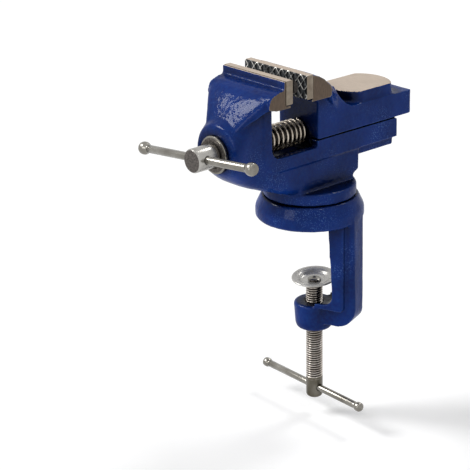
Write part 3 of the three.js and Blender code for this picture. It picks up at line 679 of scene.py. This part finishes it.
spindle_rod = thread(THREAD_FROM - 1, SPINDLE_END, SPINDLE_R, SPINDLE_DEPTH, SPINDLE_PITCH, 3.0)
rod = piece("spindle_thread", *spindle_rod, [OILED], SPINDLE, 50)
mark_crests(rod, SPINDLE, SPINDLE_R, SPINDLE_DEPTH)
finished(rod, "spindle", "spindle")


def collar_front(at, way):
    """The recessed ring inside the collar's bright rim."""
    inside = math.hypot(at.x, at.z - SPINDLE_Z) < COLLAR_R - 1.2
    return at.y < COLLAR_FRONT + 0.8 and way.y < -0.7 and inside


collar = piece("thrust_collar_turned", *lathe([
    (COLLAR_BORE, COLLAR_FRONT + 0.6), (HUB_R + 0.5, COLLAR_FRONT + 0.6), (HUB_R + 0.9, COLLAR_FRONT + 0.15),
    (HUB_R + 1.2, COLLAR_FRONT), (COLLAR_R - 1.5, COLLAR_FRONT + 0.1), (COLLAR_R - 1.2, COLLAR_FRONT),
    (COLLAR_R - 0.3, COLLAR_FRONT + 0.1), (COLLAR_R, COLLAR_FRONT + 0.5), (COLLAR_R, BOSS_FACE - 0.4),
    (COLLAR_R - 0.2, BOSS_FACE - 0.3), (COLLAR_BORE, BOSS_FACE - 0.3), (COLLAR_BORE, COLLAR_FRONT + 0.6),
]), [PLATED, DULL_AND_SHADE], SPINDLE)
paint(collar, 1, collar_front)
finished(collar, "spindle", "thrust_collar")


# Return spring: one wire, stretched between the web and the sliding jaw

def spring():
    """Its coils lie a little closer towards both ends."""
    steps = COILS * 40
    points = []
    for i in range(steps + 1):
        share = i / steps
        angle = TAU * COILS * share + math.pi / 2
        eased = share - END_CROWDING * math.sin(TAU * share) / TAU
        y = SPRING_FROM + (SPRING_TO - SPRING_FROM) * eased
        points.append(Vector((COIL_R * math.cos(angle), y, SPINDLE_Z + COIL_R * math.sin(angle))))
    return tube(points, [WIRE_R] * len(points), 14)


coil = piece("return_spring_wire", *spring(), [SPRING])
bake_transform(coil)
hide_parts("return_spring")


# Bars with upset ends

def bar(name, node, body, radius, half, shift, centre, way):
    edge = radius / 8
    verts, faces = lathe([
        (0, -half - BAR_OVER), (radius - edge, -half - BAR_OVER), (radius, -half + edge),
        (radius, half - edge), (radius - edge, half + BAR_OVER), (0, half + BAR_OVER),
    ], 48)
    rod = piece(name, verts, faces, [PLATED], along(way, Vector(centre) + way * shift))
    finished(rod, body, node)


def knob(name, node, body, profile, start, centre, way, sign):
    verts, faces = lathe(profile, 48)
    end = piece(name, verts, faces, [PLATED], along(way * sign, Vector(centre) + way * start), 40)
    finished(end, body, node)


handle_at = (0, HANDLE_Y, SPINDLE_Z)
clamp_bar_at = (SCREW_AT.x, SCREW_AT.y, CLAMP_BAR_Z)
bar("handle_bar_drawn", "handle_bar", "handle",
    HANDLE_R, HANDLE_HALF, HANDLE_SHIFT, handle_at, HANDLE_WAY)
bar("clamp_bar_drawn", "clamp_bar", "screw_bar",
    CLAMP_BAR_R, CLAMP_BAR_HALF, CLAMP_BAR_SHIFT, clamp_bar_at, BAR_WAY)
HANDLE_KNOB = [
    (0, -0.2), (HANDLE_R, -0.2), (2.95, 0.7), (3.6, 1.7), (4.15, 2.7), (4.4, 3.8), (4.4, 5.2), (4.2, 6.2),
    (3.8, 7.0), (3.1, 7.55), (2.6, 7.6), (2.2, 7.35), (0, 7.2),
]
CLAMP_KNOB = [
    (0, -0.2), (CLAMP_BAR_R, -0.2), (2.35, 0.7), (2.5, 1.3), (3.05, 2.0), (3.3, 2.7), (3.3, 4.7), (3.1, 5.5),
    (2.6, 6.05), (2.2, 6.2), (1.9, 6.0), (0, 5.9),
]
for side, sign in (("left", -1), ("right", 1)):
    knob(f"handle_end_{side}", f"handle_knob_{side}", "handle", HANDLE_KNOB,
         HANDLE_SHIFT + sign * (HANDLE_HALF + BAR_OVER), handle_at, HANDLE_WAY, sign)
    knob(f"clamp_bar_end_{side}", f"clamp_bar_knob_{side}", "screw_bar", CLAMP_KNOB,
         CLAMP_BAR_SHIFT + sign * (CLAMP_BAR_HALF + BAR_OVER), clamp_bar_at, BAR_WAY, sign)


# Clamp screw: thread, plain foot with its cross hole, and the riveted pivot in the pad

at_screw = Matrix.Translation(SCREW_AT)
screw_rod = thread(SCREW_PLAIN - 1, SCREW_SHOULDER, SCREW_R, SCREW_DEPTH, SCREW_PITCH, 2.0)
stem = piece("clamp_screw_thread", *screw_rod, [THREAD], at_screw, 50)
mark_crests(stem, at_screw, SCREW_R, SCREW_DEPTH)
finished(stem, "screw", "clamp_screw")

foot = piece("clamp_screw_foot", *lathe([
    (0, SCREW_END), (3.4, SCREW_END), (4.7, SCREW_END + 0.35), (5.5, SCREW_END + 1.1), (SCREW_R, SCREW_END + 2.2),
    (SCREW_R, SCREW_PLAIN + 0.6), (SCREW_R - 0.5, SCREW_PLAIN + 1.4), (0, SCREW_PLAIN + 1.4),
]), [FOOT], at_screw)
drill(foot, CLAMP_BAR_R + HOLE_PLAY, along(BAR_WAY, clamp_bar_at), 12)
smooth(foot, 30)
finished(foot, "screw", "clamp_screw")

# The rivet's domed top is plated. Its rim and shank are dull plating, darkened as painted shade: the dark ring
# round its head.
rivet = piece("clamp_screw_rivet", *lathe([
    (0, SCREW_SHOULDER - 0.5), (3.4, SCREW_SHOULDER - 0.5), (3.4, -46.92), (4.2, -46.92), (4.6, -46.75),
    (4.5, -46.4), (3.9, -46.0), (3.0, -45.8), (2.2, -45.85), (1.5, -46.3), (0, -46.6),
], 48), [DULL_AND_SHADE, PLATED], at_screw)
paint(rivet, 1, lambda at, way: at.z > -46.25)
finished(rivet, "screw", "clamp_screw")

heading = math.radians(PAD_HEADING)
lean = Matrix.Rotation(math.radians(PAD_TILT), 4, Vector((math.cos(heading), math.sin(heading), 0)))
pad = piece("clamp_pad_spun", *lathe([
    (4.0, -0.8), (6.8, -0.8), (7.8, -0.5), (9.2, 0.35), (10.6, 1.35), (12.0, 2.0), (13.8, 2.45), (15.2, 2.8),
    (15.6, 3.05), (15.7, 3.4), (15.6, 3.75), (15.3, 4.0), (14.8, 4.0), (13.6, 3.65), (12.2, 3.3), (11.4, 2.95),
    (10.7, 2.4), (9.6, 1.5), (8.6, 0.95), (7.4, 0.8), (4.0, 0.8), (4.0, -0.8),
], 96), [PAD_PLATE], Matrix.Translation((SCREW_AT.x, SCREW_AT.y, PAD_Z)) @ lean, 40)
finished(pad, "pad", "clamp_pad")


# Lock lever: stem, bend and a handle with a rounded end

def lever():
    points = [Vector((0, 0, 0)), Vector((-0.5, 0, 0)), Vector((-1.2, 0, 0)), Vector((-LEVER_STEM, 0, 0))]
    radii = [LEVER_R * 0.5, LEVER_R * 0.75, LEVER_R, LEVER_R]
    for k in range(1, 17):
        angle = math.pi / 2 * k / 16
        points.append(Vector((-LEVER_STEM - LEVER_BEND * math.sin(angle), LEVER_BEND * (1 - math.cos(angle)), 0)))
        radii.append(LEVER_R)
    x, y = -LEVER_STEM - LEVER_BEND, LEVER_BEND + LEVER_LENGTH
    for back, share in ((6, 1.0), (2.0, 1.0), (0.8, 0.93), (0.25, 0.78), (0.0, 0.55)):
        points.append(Vector((x, y - back, 0)))
        radii.append(LEVER_R * share)
    return tube(points, radii, 32)


tilt = Matrix.Rotation(math.radians(-LEVER_TILT), 4, "X")
lever_at = Matrix.Translation((0, 0, LOCK_Z)) @ tilt @ Matrix.Translation((LEVER_TIP, 0, 0))
finished(piece("lock_lever_bent", *lever(), [PLATED], lever_at, 40), "lever", "lock_lever")


# Floor, light and camera

def graded(tree, low, high):
    """low for the rays that light, and high for the rays that show a background, seen or reflected."""
    path = tree.nodes.new("ShaderNodeLightPath")
    shows = path.outputs["Is Camera Ray"]
    for ray in ("Is Glossy Ray", "Is Transmission Ray"):
        either = tree.nodes.new("ShaderNodeMath")
        either.operation = "MAXIMUM"
        tree.links.new(shows, either.inputs[0])
        tree.links.new(path.outputs[ray], either.inputs[1])
        shows = either.outputs[0]
    made = tree.nodes.new("ShaderNodeMapRange")
    made.inputs["To Min"].default_value = low
    made.inputs["To Max"].default_value = high
    tree.links.new(shows, made.inputs["Value"])
    return made.outputs["Result"]


def floor():
    look = Look("pale_floor")
    look.colour(look.ramp(look.noise(3, 2), (0.3, 0.90), (0.7, 0.92)))
    look.rough(look.noise(20, 2), 0.85, 0.95)
    look.set(Specular_IOR_Level=0.0, Emission_Color=(1, 1, 1, 1))
    look.link(graded(look.tree, 0.0, FLOOR_SHOWN), look.shader.inputs["Emission Strength"])
    verts = [(x * FLOOR_HALF, y * FLOOR_HALF, 0) for x, y in ((-1, -1), (1, -1), (1, 1), (-1, 1))]
    low = Matrix.Translation((0, 0, cad_box[0].z / MM - CLAMP_DROP))
    piece("floor", verts, [(0, 1, 2, 3)], [look.material], low)


def sky():
    world = bpy.data.worlds.new("studio")
    world.use_nodes = True
    bpy.context.scene.world = world
    tree = world.node_tree
    lit = tree.nodes["Background"]
    lit.inputs["Color"].default_value = (1, 1, 1, 1)
    tree.links.new(graded(tree, SKY_LIGHT, SKY_SHOWN), lit.inputs["Strength"])


def lamp(name, come_from, spread, level):
    """A far lamp, as wide as its spread in degrees. Its level is what it adds to a white face turned to it."""
    data = bpy.data.lights.new(name, "SUN")
    data.angle = math.radians(spread)
    data.energy = level * math.pi
    obj = bpy.data.objects.new(name, data)
    obj.rotation_mode = "QUATERNION"
    obj.rotation_quaternion = Vector(come_from).to_track_quat("Z", "Y")
    bpy.context.scene.collection.objects.link(obj)


def camera():
    azimuth, height, roll = (math.radians(v) for v in (CAMERA_AZIMUTH, CAMERA_HEIGHT, CAMERA_ROLL))
    back = Vector((math.sin(azimuth) * math.cos(height), -math.cos(azimuth) * math.cos(height), math.sin(height)))
    right = Vector((math.cos(azimuth), math.sin(azimuth), 0))
    up = back.cross(right)
    across = right * math.cos(roll) + up * math.sin(roll)
    above = -right * math.sin(roll) + up * math.cos(roll)
    data = bpy.data.cameras.new("camera")
    data.sensor_width = SENSOR
    data.lens = FOCAL_PX * SENSOR / PHOTO
    data.clip_start, data.clip_end = 0.05, 60
    obj = bpy.data.objects.new("camera", data)
    turn = Matrix((across, above, back)).transposed().to_4x4()
    obj.matrix_world = Matrix.Translation(CAMERA_AT * MM) @ turn
    bpy.context.scene.collection.objects.link(obj)
    bpy.context.scene.camera = obj


floor()
sky()
lamp("key", (-0.57, -0.50, 0.65), 24, 0.78)
lamp("right", (0.62, -0.12, 0.78), 1.6, 0.07)
lamp("front", (0.04, -0.93, 0.37), 24, 0.14)
lamp("back", (-0.05, 0.62, 0.78), 16, 0.2)
camera()
bpy.context.scene.view_settings.view_transform = "Standard"
